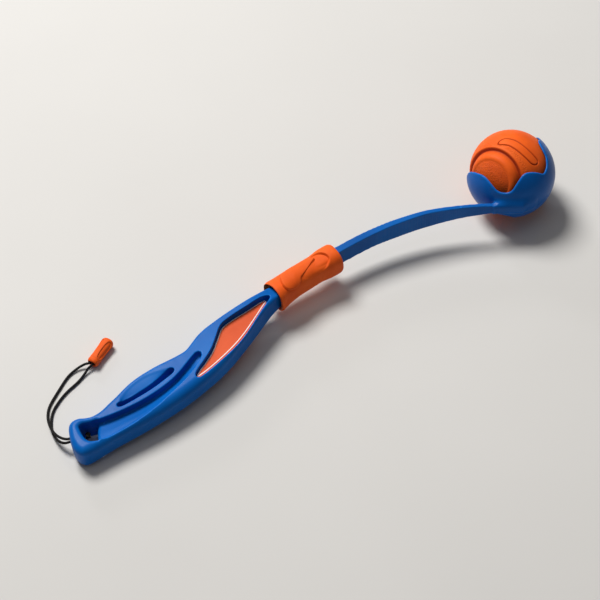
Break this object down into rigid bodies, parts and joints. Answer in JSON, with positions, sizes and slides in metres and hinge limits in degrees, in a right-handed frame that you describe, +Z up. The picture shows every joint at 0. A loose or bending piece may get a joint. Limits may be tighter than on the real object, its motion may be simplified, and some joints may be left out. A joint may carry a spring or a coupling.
{
  "type": "folding ball thrower",
  "caption": "Dog ball thrower lying on its side: cored handle, curved folding arm with a claw cup holding a rubber ball, sliding lock sleeve and wrist cord.",
  "frame": {"origin": "middle of the launcher's box at the height of the table it lies on, without the wrist cord", "axes": "+X from the handle's tail to the ball, +Y towards the finger side of the handle and the cup's opening, +Z up across the throwing plane"},
  "size_m": [0.4405, 0.1041, 0.0635],
  "materials": {
    "blue_plastic": "fine satin moulded plastic",
    "arm_plastic": "satin moulded plastic, springy",
    "orange_rubber": "matte rubber with fine stipple",
    "ball_rubber": "matte moulded rubber with rings and stippled bands",
    "liner_plastic": "plain moulded plastic",
    "label_print": "printed film, plain orange with a thin white border",
    "cord_black": "braided round cord",
    "pin_steel": "plain steel",
    "washer_plastic": "natural plastic"
  },
  "bodies": {
    "handle": {"handle_body": "blue_plastic", "label_upper": "label_print", "label_lower": "label_print", "fold_pin": "pin_steel", "pin_push_nut": "pin_steel", "hinge_washer_upper": "washer_plastic", "hinge_washer_lower": "washer_plastic", "cord_strand_a": "cord_black", "cord_strand_b": "cord_black", "cord_tail_knot": "cord_black", "cord_end": "orange_rubber", "cord_end_knot": "cord_black"},
    "arm": {"throwing_arm": "arm_plastic"},
    "sleeve": {"sleeve_liner": "liner_plastic", "sleeve_grip": "orange_rubber"},
    "ball": {"ball": "ball_rubber"}
  },
  "joints": [
    {"name": "arm_fold", "type": "hinge", "parent": "handle", "child": "arm", "pos_m": [-0.0184, 0.02063, 0.02091], "axis": [-0.0534, 0, 0.9986], "range_deg": [0, 150]},
    {"name": "sleeve_slide", "type": "slide", "parent": "arm", "child": "sleeve", "axis": [0.9978, -0.04, 0.0533], "range_m": [0, 0.0365]},
    {"name": "ball_release", "type": "slide", "parent": "arm", "child": "ball", "axis": [0.1217, 0.9925, 0.0065], "range_m": [0, 0.07]}
  ],
  "couplings": [
    {"joint": "sleeve_slide", "follows": "arm_fold", "m_per_rad": 0.01375}
  ]
}
